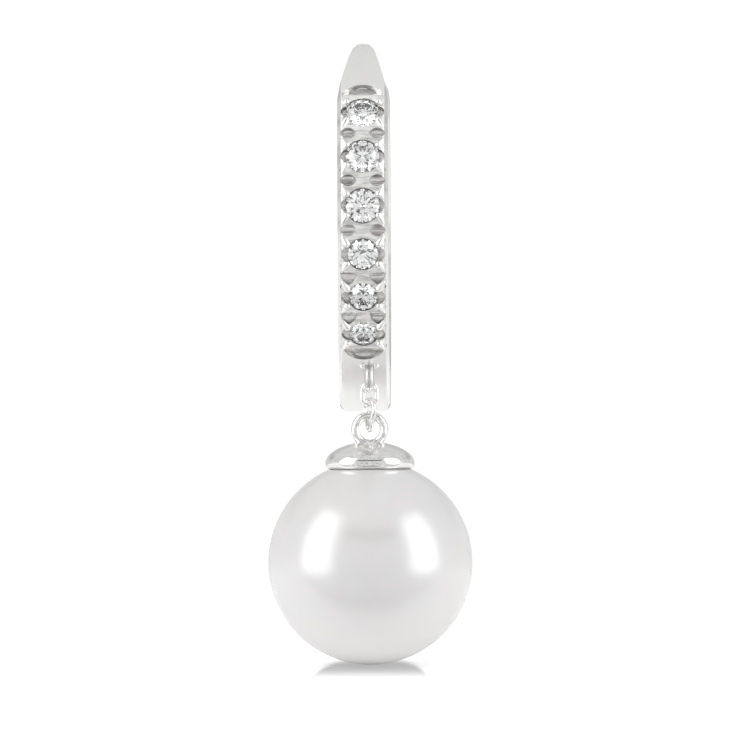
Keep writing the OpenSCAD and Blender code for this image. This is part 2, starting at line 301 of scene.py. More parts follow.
@dataclass(frozen=True)
class GravedGold(WhiteGold):
    """White gold cut by a graver, with darker strokes."""

    groove: Colour = (0.42, 0.415, 0.40)
    stroke_span: Span = (0.38, 0.6)

    def colour_of(self, tree: Tree, marks: Value) -> Socket:
        """Colour with darker strokes."""
        return mix_colour(smooth_step(marks, *self.stroke_span), self.groove, self.colour)


@dataclass(frozen=True)
class BandGold(WhiteGold):
    """Satin band gold with brightly polished rails along its two sides."""

    colour: Colour = (0.89, 0.886, 0.878)
    roughness: float = 0.42
    roughness_spread: float = 0.08
    grain: Grain = Grain.ROUND_THE_HOOP
    rail_from: float = 0.86
    rail_edge: float = 0.02
    rail_roughness: float = 0.16
    rail_colour: Colour = (0.77, 0.765, 0.755)

    def rail(self, tree: Tree) -> Value:
        """Mask of the two rails."""
        return smooth_step(abs(object_axes(tree)[0]), self.rail_from - self.rail_edge,
                           self.rail_from + self.rail_edge)

    def colour_of(self, tree: Tree, marks: Value) -> Socket:
        """Colour, deeper on the rails."""
        return mix_colour(self.rail(tree), self.colour, self.rail_colour)

    def roughness_of(self, tree: Tree, marks: Value) -> Value:
        """Roughness: satin in the middle and polished on the rails."""
        return blend(self.rail(tree), super().roughness_of(tree, marks), self.rail_roughness)


@dataclass(frozen=True)
class JewelledGold(BandGold):
    """Band gold that is worked with a graver between the rails, along the stones.

    Just below that strip its colour is a little lighter, as painted light.
    """

    centre: Triple = (0.0, 0.0, 0.0)
    low_deg: float = -45.0
    high_deg: float = 50.0
    end_bow: float = 6.0
    end_edge_deg: float = 0.3
    strip_half_w: float = 0.8
    strip_edge: float = 0.06
    face_r: float = 7.0
    face_edge: float = 0.1
    worked_colour: Colour = (0.97, 0.965, 0.95)
    worked_depth: float = 0.06
    groove: Colour = (0.68, 0.675, 0.66)
    stroke_span: Span = (0.38, 0.62)
    # Painted light: the lighter colour of a band just below the worked strip, and where that
    # band lies.
    painted_light_colour: Colour = (0.90, 0.897, 0.89)
    painted_light_under_deg: float = 11.0
    painted_light_half_deg: float = 9.9
    painted_light_edge_deg: float = 6.6

    def from_centre(self, tree: Tree) -> tuple[Value, Value]:
        """How far a place lies in front of the hoop's centre and above it."""
        _, y, z = object_axes(tree)
        return self.centre[1] - y, z - self.centre[2]

    def angle(self, tree: Tree) -> Value:
        """Angle above the front of the hoop, in degrees."""
        fore, up = self.from_centre(tree)
        return math_node("ARCTAN2", up, fore) * math.degrees(1)

    def worked(self, tree: Tree) -> Value:
        """Mask of the worked strip, on the band's outer face alone."""
        fore, up = self.from_centre(tree)
        outer = smooth_step(math_node("SQRT", fore * fore + up * up),
                            self.face_r - self.face_edge, self.face_r)
        x = object_axes(tree)[0]
        across = within(x, self.strip_half_w, self.strip_edge)
        middle, reach = (self.low_deg + self.high_deg) / 2, (self.high_deg - self.low_deg) / 2
        past = abs(self.angle(tree) - middle) + x * x * self.end_bow
        return outer * across * within(past, reach, self.end_edge_deg)

    def colour_of(self, tree: Tree, marks: Value) -> Socket:
        """Colour of the band, with the graver's darker strokes on the worked strip."""
        strokes = smooth_step(object_noise(tree, Grain.GRAVER_STROKES.value),
                              *self.stroke_span)
        worked = mix_colour(strokes, self.groove, self.worked_colour)
        # Painted light: a band just below the worked strip gets a lighter colour.
        low = within(self.angle(tree) - (self.low_deg - self.painted_light_under_deg),
                     self.painted_light_half_deg, self.painted_light_edge_deg)
        plain = mix_colour(low, super().colour_of(tree, marks), self.painted_light_colour)
        return mix_colour(self.worked(tree), plain, worked)

    def height_of(self, tree: Tree, marks: Value) -> Value:
        """Height of the fine marks and of the graver's strokes, in millimetres."""
        strokes = object_noise(tree, Grain.GRAVER_STROKES.value)
        return marks * self.mark_depth + self.worked(tree) * strokes * self.worked_depth


@dataclass(frozen=True)
class CapGold(WhiteGold):
    """Cap gold, polished at the rim and softer on the dome."""

    rim_z: float = 0.0
    fade_h: float = 0.22
    dome_roughness: float = 0.26

    def roughness_of(self, tree: Tree, marks: Value) -> Value:
        """Roughness that grows from the rim up the dome."""
        dome = smooth_step(object_axes(tree)[2], self.rim_z, self.rim_z + self.fade_h)
        return blend(dome, super().roughness_of(tree, marks), self.dome_roughness)


@dataclass(frozen=True)
class ClearStone(Finish):
    """Cut clear stone that bends light strongly, with fine polishing lines."""

    colour: Colour = (0.985, 0.99, 1.0)
    bending: float = 2.417
    line_scale: Triple = (14.0, 14.0, 14.0)
    line_span: Span = (0.55, 0.8)
    polish: float = 0.004

    def inputs(self, tree: Tree) -> dict:
        """What the stone's shader is fed."""
        lines = smooth_step(object_noise(tree, self.line_scale, 2.0), *self.line_span)
        return {"Base Color": (*self.colour, 1.0), "Transmission Weight": 1.0,
                "IOR": self.bending, "Roughness": lines * self.polish}


@dataclass(frozen=True)
class Nacre(Finish):
    """White nacre: a soft body under a clear lustre, with faint rings round the drill hole."""

    body: Colour = (0.65, 0.636, 0.645)
    warm: Colour = (0.65, 0.64, 0.631)
    cloud_scale: Triple = (0.16, 0.16, 0.2)
    cloud_span: Span = (0.35, 0.65)
    ring_scale: Triple = (0.25, 0.25, 2.6)
    ring_depth: float = 0.0012
    skin_scale: Triple = (7.0, 7.0, 7.0)
    skin_depth: float = 0.00048
    roughness: float = 0.5
    roughness_spread: float = 0.1
    lustre_roughness: float = 0.24
    lustre_bending: float = 2.3

    def inputs(self, tree: Tree) -> dict:
        """What the pearl's shader is fed."""
        clouds, rings, skin = (object_noise(tree, scale, 2.0) for scale
                               in (self.cloud_scale, self.ring_scale, self.skin_scale))
        body = mix_colour(smooth_step(clouds, *self.cloud_span), self.body, self.warm)
        return {"Base Color": body,
                "Normal": bump(rings * self.ring_depth + skin * self.skin_depth),
                "Roughness": self.roughness + (rings - 0.5) * self.roughness_spread,
                "Coat Weight": 1.0, "Coat Roughness": self.lustre_roughness,
                "Coat IOR": self.lustre_bending}


@dataclass(frozen=True)
class PalePaper(Finish):
    """Pale matt sheet that glows a little, with the pearl's soft shade on it.

    The shade is drawn for the camera alone, and only while the pearl covers that place. Its
    upper edge is an arch round the pearl's foot and it fades out below, both by how far the
    sheet has sunk below that foot. The sheet's front, which only the pearl mirrors, is darker:
    a painted shade, seen in the pearl's reflection.
    """

    foot: Vector
    colour: Colour = (0.94, 0.94, 0.94)
    glow: Colour = (0.13, 0.13, 0.13)
    seen_glow: Colour = (0.27, 0.27, 0.27)
    shade_colour: Colour = (0.12, 0.12, 0.12)
    shade_glow: Colour = (0.43, 0.43, 0.432)
    roughness: float = 0.9
    fibre_scale: Triple = (1.5, 1.5, 1.5)
    fibre_share: float = 0.04
    arch_rise: float = 0.157
    arch_bow: float = 0.0215
    arch_edge: float = 0.12
    fade_span: Span = (0.06, 0.68)
    front_middle: float = 8.5
    front_half: float = 3.0
    front_edge: float = 1.0
    front_shade_share: float = 0.55
    cover_reach: float = 8.0
    cover_samples: int = 16
    cover_span: Span = (0.06, 0.2)

    def shade(self, tree: Tree) -> Value:
        """Mask of the shade, 1 in its darkest part."""
        x, _, z = object_axes(tree)
        aside, sunk = x - self.foot.x, self.foot.z - z
        arch = aside * aside * (aside * aside) * self.arch_bow - self.arch_rise
        begun = smooth_step(sunk - arch, -self.arch_edge, self.arch_edge)
        above = add_node(tree, "ShaderNodeAmbientOcclusion",
                         {"Distance": self.cover_reach * MM}, samples=self.cover_samples)
        covered = smooth_step(1.0 - Value(above.outputs["AO"]), *self.cover_span)
        return begun * covered * (1.0 - smooth_step(sunk, *self.fade_span))

    def front(self, tree: Tree) -> Value:
        """Mask of the painted shade on the sheet's front, ahead of the pearl's foot."""
        off = self.foot.y - self.front_middle - object_axes(tree)[1]
        return within(off, self.front_half, self.front_edge) * self.front_shade_share

    def inputs(self, tree: Tree) -> dict:
        """What the sheet's shader is fed."""
        seen = Value(add_node(tree, "ShaderNodeLightPath").outputs["Is Camera Ray"])
        shade = self.shade(tree) * seen
        fibres = (object_noise(tree, self.fibre_scale, 4.0) - 0.5) * self.fibre_share
        # Painted shade: the camera's shade, and the darker front that only reflections see.
        dark = math_node("MAXIMUM", shade, self.front(tree) * (1.0 - seen)) + fibres
        plain_glow = mix_colour(seen, self.glow, self.seen_glow)
        return {"Base Color": mix_colour(dark, self.colour, self.shade_colour),
                "Emission Color": mix_colour(shade, plain_glow, self.shade_glow),
                "Emission Strength": 1.0, "Roughness": self.roughness,
                "Specular IOR Level": 0.0}


BAND_GOLD = BandGold("white_gold_band")
EYE_GOLD = GravedGold("white_gold_eye", (0.68, 0.676, 0.668), 0.45, 0.1,
                      Grain.DOWN_THE_EYE, 0.02, groove=(0.52, 0.515, 0.51))
# Floors and walls of the cuts: graver strokes, darker than the band as painted shade in these
# recesses.
SHADED_CUT_GOLD = GravedGold("white_gold_cuts_painted_shade", (0.82, 0.815, 0.80), 0.14, 0.16,
                      Grain.ACROSS_THE_BAND, 0.03, groove=(0.5, 0.495, 0.48))
# Prongs and solder beads: lighter than the other golds, a painted highlight.
PAINTED_HIGHLIGHT_PRONG_GOLD = WhiteGold("white_gold_prongs_painted_highlight", (0.95, 0.945, 0.935), 0.24, 0.06)
WIRE_GOLD = WhiteGold("white_gold_wire", (0.86, 0.855, 0.845), 0.05, 0.05)
STONE = ClearStone("cut_clear_stone")
NACRE = Nacre("white_nacre")


# Meshes

PRONG_TAPER = 0.45
PRONG_SIDES = 20
PRONG_RINGS = 14
WIRE_SIDES = 20
TURNED_SHARP_DEG = 50.0


def place_mesh(name: str, vertices: Iterable[Vector], faces: Iterable[Sequence[int]],
               finish: Finish, edges: Iterable[Sequence[int]] = ()) -> Piece:
    """Makes an object at the origin from vertices in millimetres.

    Args:
        name: The piece's name.
        vertices: Places in millimetres in the part's frame.
        faces: Vertex numbers of each face.
        finish: The piece's finish.
        edges: Vertex numbers of loose edges, for a path.

    Returns:
        The object, smooth shaded.
    """
    mesh = bpy.data.meshes.new(name)
    mesh.from_pydata([Vector(v) * MM for v in vertices], list(edges), list(faces))
    mesh.polygons.foreach_set("use_smooth", [True] * len(mesh.polygons))
    mesh.materials.append(finish.material())
    mesh.update()
    piece = bpy.data.objects.new(name, mesh)
    bpy.context.scene.collection.objects.link(piece)
    return piece


def merged_copy(node: str, name: str, finish: Finish, sharp_deg: float,
                reshape: Callable[[Vector], Vector] = Vector) -> Piece:
    """A copy of a CAD node with its loose triangles joined and its round faces smooth.

    Args:
        node: The CAD node.
        name: The new piece's name.
        finish: The piece's finish.
        sharp_deg: Angle past which an edge stays sharp.
        reshape: Gives a vertex, in millimetres, its place in the copy.

    Returns:
        The new object.
    """
    bm = bmesh.new()
    bm.from_mesh(frame["nodes"][node].data)
    bmesh.ops.remove_doubles(bm, verts=bm.verts, dist=1e-7)
    bmesh.ops.dissolve_degenerate(bm, edges=bm.edges, dist=1e-8)
    vertices = [reshape(v.co / MM) for v in bm.verts]
    bm.verts.index_update()
    faces = [[v.index for v in f.verts] for f in bm.faces]
    bm.free()
    piece = place_mesh(name, vertices, faces, finish)
    piece.data.set_sharp_from_angle(angle=math.radians(sharp_deg))
    piece.modifiers.new("face_weights", "WEIGHTED_NORMAL").keep_sharp = True
    return piece


def turned(name: str, centre: Vector, profile: Sequence[Vector], sides: int,
           finish: Finish) -> Piece:
    """A piece turned round a vertical axis.

    Args:
        name: The piece's name.
        centre: A point on the axis, from which the profile is measured.
        profile: Points with their radius as X and their height as Z, from the top round to
            the underside. It starts and ends on the axis.
        sides: Faces round the axis.
        finish: The piece's finish.

    Returns:
        The new object, closed at both poles.
    """
    turns = [2 * math.pi * k / sides for k in range(sides)]
    top, *rings, foot = profile
    vertices = [centre + Vector((point.x * math.cos(turn), point.x * math.sin(turn), point.z))
                for point in rings for turn in turns]
    vertices = [centre + top, *vertices, centre + foot]
    last = len(vertices) - 1
    faces = []
    for k in range(sides):
        after = (k + 1) % sides
        faces.append((0, 1 + k, 1 + after))
        faces.append((last, last - sides + after, last - sides + k))
        for upper in range(1, 1 + (len(rings) - 1) * sides, sides):
            lower = upper + sides
            faces.append((upper + after, upper + k, lower + k, lower + after))
    piece = place_mesh(name, vertices, faces, finish)
    piece.data.set_sharp_from_angle(angle=math.radians(TURNED_SHARP_DEG))
    return piece


def run_tree(piece: Piece, tree: Tree, values: dict[str, float]) -> None:
    """Runs a geometry tree on a piece and keeps the result as its plain mesh.

    Args:
        piece: The object that holds the path or the places, and the finish.
        tree: The geometry tree.
        values: The tree's own inputs by name.
    """
    modifier = piece.modifiers.new("made", "NODES")
    modifier.node_group = tree
    sockets = {item.name: item.identifier for item in tree.interface.items_tree
               if item.item_type == "SOCKET" and item.in_out == "INPUT"}
    for name, value in {**values, "Finish": piece.data.materials[0]}.items():
        modifier[sockets[name]] = value
    graph = bpy.context.evaluated_depsgraph_get()
    made = bpy.data.meshes.new_from_object(piece.evaluated_get(graph))
    piece.modifiers.remove(modifier)
    piece.data = made
    made.name = piece.name


def open_tree(name: str, inputs: dict[str, str]) -> tuple[Tree, bpy.types.NodeOutputs]:
    """Starts a geometry tree with named inputs.

    Args:
        name: The tree's name.
        inputs: Input name to type, between the geometry and the finish.

    Returns:
        The tree and the sockets of what it is given.
    """
    tree = bpy.data.node_groups.new(name, "GeometryNodeTree")
    for socket, kind in {"Geometry": "Geometry", **inputs, "Finish": "Material"}.items():
        tree.interface.new_socket(socket, in_out="INPUT", socket_type=f"NodeSocket{kind}")
    tree.interface.new_socket("Geometry", in_out="OUTPUT", socket_type="NodeSocketGeometry")
    return tree, add_node(tree, "NodeGroupInput").outputs


def close_tree(tree: Tree, geometry: Socket, material: Socket) -> None:
    """Ends a geometry tree: real geometry, smooth faces and the material.

    Args:
        tree: The geometry tree.
        geometry: What has been made.
        material: The material to set.
    """
    real = add_node(tree, "GeometryNodeRealizeInstances", {"Geometry": geometry})
    smooth = add_node(tree, "GeometryNodeSetShadeSmooth", {"Geometry": real.outputs[0]})
    dressed = add_node(tree, "GeometryNodeSetMaterial",
                       {"Geometry": smooth.outputs[0], "Material": material})
    add_node(tree, "NodeGroupOutput", {0: dressed.outputs[0]})


@cache
def wire_tree() -> Tree:
    """The geometry tree that draws a round wire along a path of edges."""
    tree, given = open_tree("wire_on_path", {"Wire radius": "Float", "Sides": "Int"})
    path = add_node(tree, "GeometryNodeMeshToCurve", {"Mesh": given["Geometry"]})
    section = add_node(tree, "GeometryNodeCurvePrimitiveCircle",
                       {"Resolution": given["Sides"], "Radius": given["Wire radius"]},
                       mode="RADIUS")
    wire = add_node(tree, "GeometryNodeCurveToMesh",
                    {"Curve": path.outputs[0], "Profile Curve": section.outputs[0]})
    close_tree(tree, wire.outputs[0], given["Finish"])
    return tree


@cache
def prong_tree() -> Tree:
    """The geometry tree that sets a drop of gold on each point, turned as the point says."""
    tree, given = open_tree("prongs_on_points", {"Head radius": "Float", "Tail length": "Float"})
    ball = add_node(tree, "GeometryNodeMeshUVSphere",
                    {"Segments": PRONG_SIDES, "Rings": PRONG_RINGS, "Radius": 1.0})
    x, y, z = axes_of(add_node(tree, "GeometryNodeInputPosition").outputs[0])
    tail = math_node("MAXIMUM", z, 0.0)
    head = math_node("MINIMUM", z, 0.0)
    narrow = 1.0 - PRONG_TAPER * tail
    radius, length = Value(given["Head radius"]), Value(given["Tail length"])
    shaped = add_node(tree, "ShaderNodeCombineXYZ",
                      {0: x * narrow * radius, 1: y * narrow * radius,
                       2: head * radius + tail * length})
    drop = add_node(tree, "GeometryNodeSetPosition",
                    {"Geometry": ball.outputs["Mesh"], "Position": shaped.outputs[0]})
    points = add_node(tree, "GeometryNodeMeshToPoints", {"Mesh": given["Geometry"]})
    turn = add_node(tree, "GeometryNodeInputNamedAttribute", {"Name": "turn"},
                    data_type="FLOAT_VECTOR")
    turned_to = add_node(tree, "FunctionNodeEulerToRotation",
                         {0: turn.outputs["Attribute"]})
    row = add_node(tree, "GeometryNodeInstanceOnPoints",
                   {"Points": points.outputs[0], "Instance": drop.outputs[0],
                    "Rotation": turned_to.outputs[0]})
    close_tree(tree, row.outputs[0], given["Finish"])
    return tree


def settle(piece: Piece, body: str, stands_for: Sequence[str] = ()) -> None:
    """Gives a finished piece its body and hides the CAD nodes that it replaces.

    Args:
        piece: The piece.
        body: The CAD body that it moves with.
        stands_for: CAD nodes that it replaces.
    """
    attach(piece, body)
    if stands_for:
        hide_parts(*stands_for)
    log.info("%s rides on %s with %d faces", piece.name, body, len(piece.data.polygons))


def wire_ring(name: str, path: Sequence[Vector], wire_d: float, body: str,
              stands_for: Sequence[str] = ()) -> None:
    """Builds a closed ring of round gold wire.

    Args:
        name: The piece's name.
        path: Places along the middle of the wire, in order.
        wire_d: Diameter of the wire.
        body: The CAD body that it moves with.
        stands_for: CAD nodes that it replaces.
    """
    loop = [(k, (k + 1) % len(path)) for k in range(len(path))]
    ring = place_mesh(name, path, [], WIRE_GOLD, loop)
    run_tree(ring, wire_tree(), {"Wire radius": wire_d / 2 * MM, "Sides": WIRE_SIDES})
    settle(ring, body, stands_for)


def gold_drops(name: str, places: Sequence[Vector], turns: Sequence[Euler], head_r: float,
               tail_len: float) -> None:
    """Builds a row of drops of gold on the jewelled half.

    Args:
        name: The piece's name.
        places: Places of the heads.
        turns: Turn of each drop, which points its tail along local Z.
        head_r: Radius of a head.
        tail_len: Length of a tail.
    """
    row = place_mesh(name, places, [], PAINTED_HIGHLIGHT_PRONG_GOLD)
    layer = row.data.attributes.new("turn", "FLOAT_VECTOR", "POINT")
    layer.data.foreach_set("vector", [angle for turn in turns for angle in turn])
    run_tree(row, prong_tree(), {"Head radius": head_r * MM, "Tail length": tail_len * MM})
    settle(row, "front_body")


def joint_place(name: str) -> Vector:
    """Place of a joint of the frame, in millimetres."""
    return Vector(next(j["pos_m"] for j in frame["joints"] if j["name"] == name)) / MM


def box_mm(node: str) -> tuple[Vector, Vector]:
    """Low and high corner of a CAD node's box, in millimetres."""
    low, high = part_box(node)
    return low / MM, high / MM


def arc(centre: Vector, right: Vector, up: Vector, radius: float, start_deg: float,
        end_deg: float, steps: int) -> list[Vector]:
    """Points along an arc.

    Args:
        centre: Centre of the arc.
        right: Direction of 0 degrees.
        up: Direction of 90 degrees.
        radius: Radius of the arc.
        start_deg: Angle of the first point.
        end_deg: Angle of the last point.
        steps: Number of equal steps.

    Returns:
        The points, with both ends.
    """
    points = []
    for k in range(steps + 1):
        turn = math.radians(start_deg + (end_deg - start_deg) * k / steps)
        points.append(centre + radius * (math.cos(turn) * right + math.sin(turn) * up))
    return points


# Pieces of the earring

class HoopPart(IntEnum):
    """Material number of a face of the jewelled half."""

    BAND = 0
    CUT = 1
    EYE = 2


@dataclass
class Hoop:
    """The two halves of the hoop, the hinge pin and the soldered eye."""

    outer_r: float = 7.25
    barrel_r: float = 0.78
    barrel_inset: float = 0.02
    sharp_deg: float = 30.0
    seat_gap: float = 0.03
    seat_gap_left: float = 0.003
    wall_play: float = 0.006
    seat_depth: float = 0.2
    row_margin_deg: float = 8.0
    deepest_cut: float = 0.4
    cut_reach_deg: float = 3.0
    cut_lean: float = 0.5
    face_play: float = 0.01
    eye_rise: float = 0.02
    end_margin_deg: float = 2.0
    tip_from: float = 52.0
    tip_slim: float = 0.035
    neck_ring_r: float = 6.87
    neck_from: float = 77.1
    neck_to: float = 90.0
    neck_fade: float = 6.0
    neck_power: float = 2.7
    eye_ring_r: float = 0.445
    eye_wire: float = 0.29
    eye_steps: int = 64
    solder_x: float = 0.27
    solder_deg: float = -48.6
    solder_r: float = 0.12
    centre: Vector = field(init=False)

    def __post_init__(self) -> None:
        """Finds the hoop's centre from the hinge."""
        rise = self.outer_r - self.barrel_r - self.barrel_inset
        self.centre = joint_place("hoop_hinge") + rise * UP

    def polar(self, place: Vector) -> tuple[float, float]:
        """Distance of a place from the hoop's axis and its angle above the front."""
        fore, up = self.centre.y - place.y, place.z - self.centre.z
        return math.hypot(fore, up), math.degrees(math.atan2(up, fore))

    def on_band(self, x: float, angle_deg: float, radius: float) -> Vector:
        """A place at a distance to the right, an angle above the front and a radius."""
        turn = math.radians(angle_deg)
        return self.centre + Vector((x, -radius * math.cos(turn), radius * math.sin(turn)))

    def reshape(self, place: Vector, seats: Sequence[tuple[float, float]]) -> Vector:
        """Place of a vertex of the jewelled half in the visual copy.

        The seats close round the stones and the beads are pressed flat under the prongs. The
        neck gets squarer and the arch below it slimmer.

        Args:
            place: The vertex.
            seats: Angle and radius of each stone, the highest first.

        Returns:
            The vertex's place in the copy.
        """
        radius, angle = self.polar(place)
        for seat_deg, stone_r in seats:
            along = radius * math.sin(math.radians(angle - seat_deg))
            off = math.hypot(place.x, along)
            on_wall = abs(off - stone_r - self.seat_gap) < self.wall_play
            if on_wall and radius > self.outer_r - self.seat_depth:
                closer = (stone_r + self.seat_gap_left) / off
                turn = angle + math.degrees(along * (closer - 1) / radius)
                return self.on_band(place.x * closer, turn, min(radius, self.outer_r))
        past_row = max(angle - seats[0][0], seats[-1][0] - angle)
        if past_row < self.row_margin_deg and radius > self.outer_r:
            return self.on_band(place.x, angle, self.outer_r)
        if radius > self.neck_ring_r and self.neck_from < angle < self.neck_to:
            return self.fill_neck(place.x, angle, radius)
        if self.tip_from < angle < self.neck_from:
            share = (angle - self.tip_from) / (self.neck_from - self.tip_from)
            slim = 1 - self.tip_slim * math.sin(math.pi * share)
            return Vector((place.x * slim, place.y, place.z))
        return place

    def fill_neck(self, x: float, angle_deg: float, radius: float) -> Vector:
        """Gives the outer half of the neck the squarer section of the band's end.

        Args:
            x: Distance of the vertex to the right of the middle plane.
            angle_deg: Angle of the vertex above the front.
            radius: Distance of the vertex from the hoop's axis.

        Returns:
            The vertex's place in the copy.
        """
        out = radius - self.neck_ring_r
        reach = math.hypot(x, out)
        power = self.neck_power
        square = ((abs(x) / reach) ** power + (out / reach) ** power) ** (-1 / power)
        share = min(1.0, (self.neck_to - angle_deg) / self.neck_fade)
        wider = 1 + (square - 1) * share
        return self.on_band(x * wider, angle_deg, self.neck_ring_r + out * wider)

    def part_of(self, face: bpy.types.MeshPolygon, cuts: Sequence[float]) -> HoopPart:
        """Tells what a face of the jewelled half belongs to.

        Args:
            face: The face.
            cuts: Angle of each cut.

        Returns:
            The eye, the floors and walls of the cuts, or the band.
        """
        place = face.center / MM
        radius, angle = self.polar(place)
        if radius > self.outer_r + self.eye_rise:
            return HoopPart.EYE
        off = min(abs(angle - cut) for cut in cuts)
        outward = face.normal.x * math.copysign(1.0, place.x)
        sunk = self.outer_r - self.deepest_cut < radius < self.outer_r - self.face_play
        in_cut = sunk and outward < self.cut_lean and off < self.cut_reach_deg
        return HoopPart.CUT if in_cut else HoopPart.BAND

    def build_front(self, seats: Sequence[tuple[float, float]], cuts: Sequence[float]) -> None:
        """Builds the jewelled half.

        Args:
            seats: Angle and radius of each stone, the highest first.
            cuts: Angle of each cut, the highest first.
        """
        gold = JewelledGold("white_gold_front", centre=tuple(self.centre),
                            low_deg=cuts[-1] - self.end_margin_deg,
                            high_deg=cuts[0] + self.end_margin_deg)
        front = merged_copy("front_hoop", "front_half", gold, self.sharp_deg,
                            lambda place: self.reshape(place, seats))
        front.data.materials.append(SHADED_CUT_GOLD.material())
        front.data.materials.append(EYE_GOLD.material())
        for face in front.data.polygons:
            face.material_index = self.part_of(face, cuts)
        settle(front, "front_body", ["front_hoop"])

    def build_back(self) -> None:
        """Builds the plain half and the pin."""
        for node, name, gold, body in (("back_hoop", "back_half", BAND_GOLD, "back_body"),
                                       ("hinge_pin", "pin", WIRE_GOLD, "front_body")):
            settle(merged_copy(node, name, gold, self.sharp_deg), body, [node])

    def build_eye(self) -> None:
        """Builds the eye that the links hang on, over the CAD's own, and its solder beads."""
        low = joint_place("drop_side_swing")
        ring = arc(low + self.eye_ring_r * UP, BACK, UP, self.eye_ring_r, 0, 360, self.eye_steps)
        wire_ring("hoop_eye", ring[:-1], self.eye_wire, "front_body")
        beads = [self.on_band(low.x + side * self.solder_x, self.solder_deg, self.outer_r)
                 for side in (-1, 1)]
        gold_drops("solder_beads", beads, [Euler()] * len(beads), self.solder_r, self.solder_r)


@dataclass
class StoneRow:
    """The graduated stones, and the prongs round the cuts between them."""

    hoop: Hoop
    names: tuple[str, ...] = tuple(f"stone_{k}" for k in range(1, 7))
    end_shift_deg: float = 1.4
    prong_x: float = 0.62
    prong_share: float = 0.58
    prong_r: float = 0.14
    tail_x: float = 0.84
    tail_share: float = 0.2
    tail_len: float = 0.44
    tail_sink: float = 0.03

    def seats(self) -> list[tuple[float, float]]:
        """Angle above the front and radius of each stone, the highest first."""
        boxes = [box_mm(name) for name in self.names]
        return [(self.hoop.polar((low + high) / 2)[1], (high.x - low.x) / 2)
                for low, high in boxes]

    def cut_angles(self) -> list[float]:
        """Angle of each cut, from above the first stone to below the last."""
        stones = [angle for angle, _ in self.seats()]
        between = [(a + b) / 2 for a, b in zip(stones, stones[1:])]
        first = stones[0] + (stones[0] - stones[1]) / 2 + self.end_shift_deg
        last = stones[-1] - (stones[-2] - stones[-1]) / 2 - self.end_shift_deg
        return [first, *between, last]

    def dress_stones(self) -> None:
        """Gives the CAD's cut stones their finish."""
        for name in self.names:
            stone = frame["nodes"][name]
            stone.data.materials.clear()
            stone.data.materials.append(STONE.material())
            log.info("%s is dressed", name)

    def build_prongs(self) -> None:
        """Builds a prong at each corner of each stone, its tail towards the cut's tip."""
        cuts = self.cut_angles()
        prongs = [self.prong(cut, stone, side) for number, (stone, _) in enumerate(self.seats())
                  for cut in cuts[number:number + 2] for side in (-1, 1)]
        places, turns = zip(*prongs)
        gold_drops("prongs", places, turns, self.prong_r, self.tail_len)

    def prong(self, cut_deg: float, stone_deg: float, side: int) -> tuple[Vector, Euler]:
        """Place and turn of one prong.

        Args:
            cut_deg: Angle of the cut that it stands beside.
            stone_deg: Angle of the stone that it holds.
            side: 1 on the right and -1 on the left.

        Returns:
            The head's place and the turn that points local Z along the tail.
        """
        head_deg = cut_deg + self.prong_share * (stone_deg - cut_deg)
        tail_deg = cut_deg + self.tail_share * (stone_deg - cut_deg)
        head = self.hoop.on_band(side * self.prong_x, head_deg, self.hoop.outer_r)
        tail = self.hoop.on_band(side * self.tail_x, tail_deg,
                                 self.hoop.outer_r - self.tail_sink)
        return head, (tail - head).to_track_quat("Z", "X").to_euler()


@dataclass
class Links:
    """The two wire links between the hoop and the drop."""

    wire: float = 0.18
    upper_w: float = 0.74
    upper_len: float = 1.02
    lower_len: float = 1.39
    lower_turn_deg: float = 26.0
    lower_top_r: float = 0.415
    lower_bottom_r: float = 0.13
    upper_steps: int = 20
    top_steps: int = 24
    bottom_steps: int = 12

    def build_upper(self) -> None:
        """Builds the long round link that faces the front."""
        low, high = box_mm("link_upper")
        middle, half = (low + high) / 2, (self.upper_len - self.upper_w) / 2 * UP
        radius = (self.upper_w - self.wire) / 2
        path = arc(middle + half, RIGHT, UP, radius, 0, 180, self.upper_steps)
        path += arc(middle - half, RIGHT, UP, radius, 180, 360, self.upper_steps)
        wire_ring("upper_link", path, self.wire, "link_body", ["link_upper"])

    def build_lower(self) -> None:
        """Builds the pear-shaped link, turned out of the fore-and-aft plane."""
        low, high = box_mm("link_lower")
        turn = math.radians(90 + self.lower_turn_deg)
        right = Vector((math.cos(turn), math.sin(turn), 0))
        rise = self.lower_len - self.wire - self.lower_top_r - self.lower_bottom_r
        lean = math.degrees(math.asin((self.lower_top_r - self.lower_bottom_r) / rise))
        top = Vector(((low.x + high.x) / 2, (low.y + high.y) / 2,
                      high.z - self.wire / 2 - self.lower_top_r))
        path = arc(top, right, UP, self.lower_top_r, -lean, 180 + lean, self.top_steps)
        path += arc(top - rise * UP, right, UP, self.lower_bottom_r, 180 + lean, 360 - lean,
                    self.bottom_steps)
        wire_ring("lower_link", path, self.wire, "drop_body", ["link_lower"])


